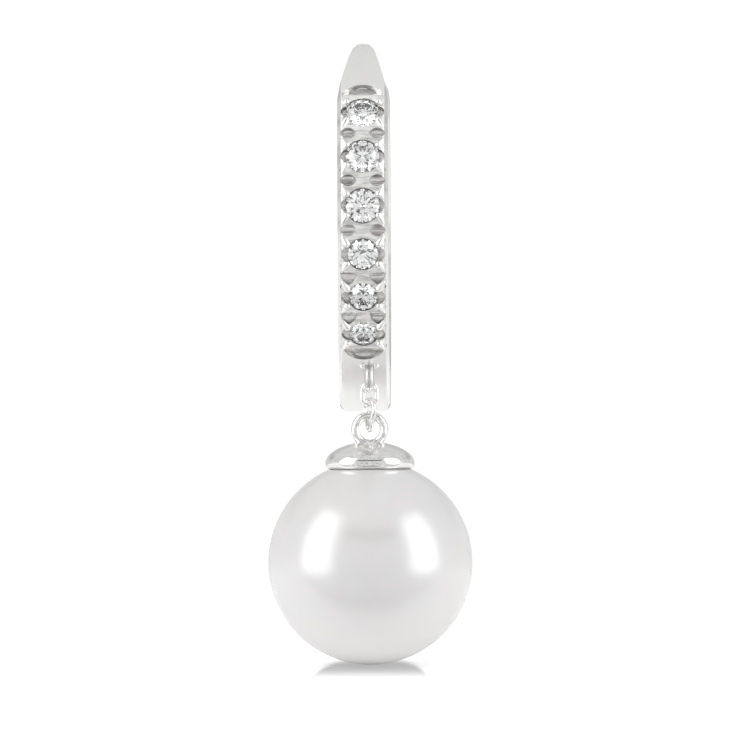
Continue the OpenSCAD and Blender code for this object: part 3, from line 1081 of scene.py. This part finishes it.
@dataclass
class Drop:
    """The cap with its eye, and the pearl."""

    cap_r: float = 1.75
    dome_h: float = 0.82
    dome_power: float = 1.85
    rim_h: float = 0.25
    rim_curl: float = 0.11
    dome_steps: int = 48
    dome_spread: float = 0.8
    rim_steps: int = 12
    cup_steps: int = 16
    eye_ring_r: float = 0.56
    eye_wire: float = 0.34
    eye_top_h: float = 1.85
    eye_steps: int = 72
    pearl_gap: float = 0.03
    skin_steps: int = 120
    peg_r: float = 0.4
    peg_len: float = 2.6
    peg_edge: float = 0.05
    sides: int = 128
    pearl_centre: Vector = field(init=False)
    pearl_r: float = field(init=False)

    def __post_init__(self) -> None:
        """Finds the pearl's centre and radius from its box."""
        low, high = box_mm("pearl")
        self.pearl_r = (high.x - low.x) / 2
        self.pearl_centre = Vector(((low.x + high.x) / 2, (low.y + high.y) / 2,
                                    low.z + self.pearl_r))

    def cap_profile(self) -> list[Vector]:
        """Section of the cap: dome, rim, the cup over the pearl, and the peg.

        Returns:
            Radius as X and height above the pearl's centre as Z of each point.
        """
        cup_r = self.pearl_r + self.pearl_gap
        lip = self.cap_r - self.rim_curl
        dome = Vector((0, 0, math.sqrt(cup_r ** 2 - lip ** 2) + self.rim_h))
        power = 2 / self.dome_power
        points = [dome + self.dome_h * UP]
        for k in range(1, self.dome_steps):
            turn = math.radians(90 * (1 - (k / self.dome_steps) ** self.dome_spread))
            points.append(dome + self.cap_r * math.cos(turn) ** power * RIGHT
                          + self.dome_h * math.sin(turn) ** power * UP)
        points += arc(dome + lip * RIGHT, self.rim_curl * RIGHT, self.rim_h * UP, 1, 0, -90,
                      self.rim_steps)
        for k in range(1, self.cup_steps + 1):
            radius = lip + (self.peg_r - lip) * k / self.cup_steps
            points.append(Vector((radius, 0, math.sqrt(cup_r ** 2 - radius ** 2))))
        foot = (self.pearl_r - self.peg_len) * UP
        return points + [foot + self.peg_r * RIGHT + self.peg_edge * UP,
                         foot + (self.peg_r - self.peg_edge) * RIGHT, foot]

    def build_cap(self) -> None:
        """Builds the turned cap and its eye."""
        top = box_mm("drop_cap")[1].z
        gold = CapGold("white_gold_cap", (0.84, 0.835, 0.82), 0.1, 0.05,
                       rim_z=top - self.eye_top_h)
        cap = turned("pearl_cap", self.pearl_centre, self.cap_profile(), self.sides, gold)
        settle(cap, "drop_body", ["drop_cap"])
        centre = Vector((self.pearl_centre.x, self.pearl_centre.y,
                         top - self.eye_wire / 2 - self.eye_ring_r))
        ring = arc(centre, RIGHT, UP, self.eye_ring_r, 0, 360, self.eye_steps)
        wire_ring("cap_eye", ring[:-1], self.eye_wire, "drop_body")

    def pearl_profile(self) -> list[Vector]:
        """Section of the pearl: drill hole, its edge, and the round skin.

        Returns:
            Radius as X and height above the pearl's centre as Z of each point.
        """
        hole_r = self.peg_r + self.pearl_gap
        floor = (self.pearl_r - self.peg_len - self.pearl_gap) * UP
        edge_deg = math.degrees(math.acos(hole_r / self.pearl_r))
        return [floor, floor + hole_r * RIGHT,
                *arc(Vector(), RIGHT, UP, self.pearl_r, edge_deg, -90, self.skin_steps)]

    def build_pearl(self) -> None:
        """Builds the drilled pearl."""
        pearl = turned("pearl_drop", self.pearl_centre, self.pearl_profile(), 2 * self.sides,
                       NACRE)
        settle(pearl, "drop_body", ["pearl"])


# Studio

@dataclass(frozen=True)
class Zone:
    """A soft-edged patch of the studio, seen from the earring.

    Azimuth 0 is the camera's side and 90 the right. Sizes are half angles in degrees.
    """

    azimuth: float
    elevation: float
    half_w: float
    half_h: float
    edge: float
    level: float


@dataclass
class Studio:
    """White studio with two soft boxes at the sides and small dark patches in between."""

    base_level: float = 0.9
    background: float = 1.05
    gap_scale: float = 18.0
    gap_span: Span = (0.58, 0.61)
    gap_level: float = 0.03
    zones: tuple[Zone, ...] = (
        Zone(180, 0, 60, 55, 20, 0.75),
        Zone(180, 24, 55, 6, 6, 0.5),
        Zone(0, 31, 34, 6, 3, 0.1),
        Zone(0, -44, 34, 10, 5, 0.15),
        Zone(-64, 20, 19, 30, 6, 3.2),
        Zone(65, 18, 18, 28, 6, 3.2),
    )

    def build_world(self) -> None:
        """Builds the world: white to the camera, the studio's patches to everything else."""
        world = bpy.data.worlds.new("studio")
        world.use_nodes = True
        bpy.context.scene.world = world
        tree = world.node_tree
        tree.nodes.clear()
        way = add_node(tree, "ShaderNodeTexCoord").outputs["Generated"]
        x, y, z = axes_of(way)
        azimuth = math_node("ARCTAN2", x, 0.0 - y) * math.degrees(1)
        elevation = math_node("ARCSINE", z) * math.degrees(1)
        noise = add_node(tree, "ShaderNodeTexNoise",
                         {"Vector": way, "Scale": self.gap_scale, "Detail": 1.0})
        gaps = smooth_step(Value(noise.outputs[0]), *self.gap_span)
        level = blend(gaps, self.base_level, self.gap_level)
        for zone in self.zones:
            aside = math_node("WRAP", azimuth - zone.azimuth, 180.0, -180.0)
            inside = within(aside, zone.half_w, zone.edge) \
                * within(elevation - zone.elevation, zone.half_h, zone.edge)
            level = blend(inside, level, zone.level)
        seen = Value(add_node(tree, "ShaderNodeLightPath").outputs["Is Camera Ray"])
        light = add_node(tree, "ShaderNodeBackground",
                         {"Color": (1.0, 1.0, 1.0, 1.0),
                          "Strength": blend(seen, level, self.background)})
        add_node(tree, "ShaderNodeOutputWorld", {"Surface": light.outputs[0]})


@dataclass
class Sheet:
    """Pale sheet under the earring: level behind, then falling away in two gentle slopes."""

    gap: float = 0.03
    depth: float = 60.0
    behind: float = 3.4
    lean_deg: float = 2.5
    lean_len: float = 3.6
    edge_r: float = 4.0
    slope_deg: float = 9.5
    slope_len: float = 7.0
    bend_r: float = 20.0
    steep_deg: float = 85.0
    steps: int = 24
    half_width: float = 400.0
    drop: float = 120.0

    @staticmethod
    def falling(deg: float) -> Vector:
        """Direction towards the front that falls by an angle."""
        return Vector((0, -math.cos(math.radians(deg)), -math.sin(math.radians(deg))))

    def section(self, foot: Vector) -> list[Vector]:
        """Section of the sheet from the back to the front, under the pearl's foot."""
        rise = self.behind * math.tan(math.radians(self.lean_deg)) - self.gap
        edge = foot + self.behind * BACK + rise * UP
        points = [edge + self.depth * BACK, edge]
        for straight, radius, start, end in (
                (self.lean_len, self.edge_r, self.lean_deg, self.slope_deg),
                (self.slope_len, self.bend_r, self.slope_deg, self.steep_deg)):
            middle = points[-1] + straight * self.falling(start) \
                + radius * self.falling(start + 90)
            points += arc(middle, BACK, UP, radius, 90 + start, 90 + end, self.steps)
        return points + [points[-1] + self.drop * self.falling(self.steep_deg)]

    def build(self, pearl_centre: Vector) -> None:
        """Builds the sheet under the pearl that has this centre."""
        foot = Vector((pearl_centre.x, pearl_centre.y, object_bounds()[0].z / MM))
        section = self.section(foot)
        vertices = [Vector((x, point.y, point.z)) for point in section
                    for x in (-self.half_width, self.half_width)]
        faces = [(2 * k, 2 * k + 1, 2 * k + 3, 2 * k + 2) for k in range(len(section) - 1)]
        paper = PalePaper("pale_sheet", foot.freeze())
        place_mesh("pale_sheet", vertices, faces, paper)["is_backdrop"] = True
        log.info("pale_sheet lies under the earring")


@dataclass
class PhotoCamera:
    """Long lens in front of the earring, level, a little to the right and rolled."""

    distance: float = 1000.0
    azimuth_deg: float = 0.5
    roll_deg: float = -0.31
    image_px: float = 750.0
    px_per_mm: float = 25.4
    hoop_centre_px: tuple[float, float] = (364.4, 227.4)
    sensor: float = 36.0
    clip_m: tuple[float, float] = (0.01, 10.0)

    def build(self, hoop: Hoop) -> None:
        """Builds the camera by the hoop, whose centre is known in the photograph."""
        azimuth = math.radians(self.azimuth_deg)
        back = Vector((math.sin(azimuth), -math.cos(azimuth), 0))
        right = Vector((math.cos(azimuth), math.sin(azimuth), 0))
        turn = Matrix((right, UP, back)).transposed().to_4x4() \
            @ Matrix.Rotation(math.radians(self.roll_deg), 4, "Z")
        across = (self.image_px / 2 - self.hoop_centre_px[0]) / self.px_per_mm
        down = (self.image_px / 2 - self.hoop_centre_px[1]) / self.px_per_mm
        target = hoop.centre + turn.to_3x3() @ Vector((across, -down, 0))
        data = bpy.data.cameras.new("photo_camera")
        data.sensor_width = self.sensor
        data.lens = self.sensor * self.distance * self.px_per_mm / self.image_px
        data.clip_start, data.clip_end = self.clip_m
        camera = bpy.data.objects.new("photo_camera", data)
        camera.matrix_world = Matrix.Translation((target + back * self.distance) * MM) @ turn
        bpy.context.scene.collection.objects.link(camera)
        bpy.context.scene.camera = camera


def main() -> None:
    """Builds the earring, the studio and the camera."""
    logging.basicConfig(level=logging.INFO, format="%(name)s: %(message)s")
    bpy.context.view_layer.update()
    hoop = Hoop()
    PhotoCamera().build(hoop)
    row = StoneRow(hoop)
    cuts = row.cut_angles()
    hoop.build_front(row.seats(), cuts)
    hoop.build_back()
    hoop.build_eye()
    row.dress_stones()
    row.build_prongs()
    links = Links()
    links.build_upper()
    links.build_lower()
    drop = Drop()
    drop.build_cap()
    drop.build_pearl()
    Sheet().build(drop.pearl_centre)
    Studio().build_world()
    bpy.context.scene.view_settings.view_transform = "Standard"


if __name__ == "__main__":
    main()
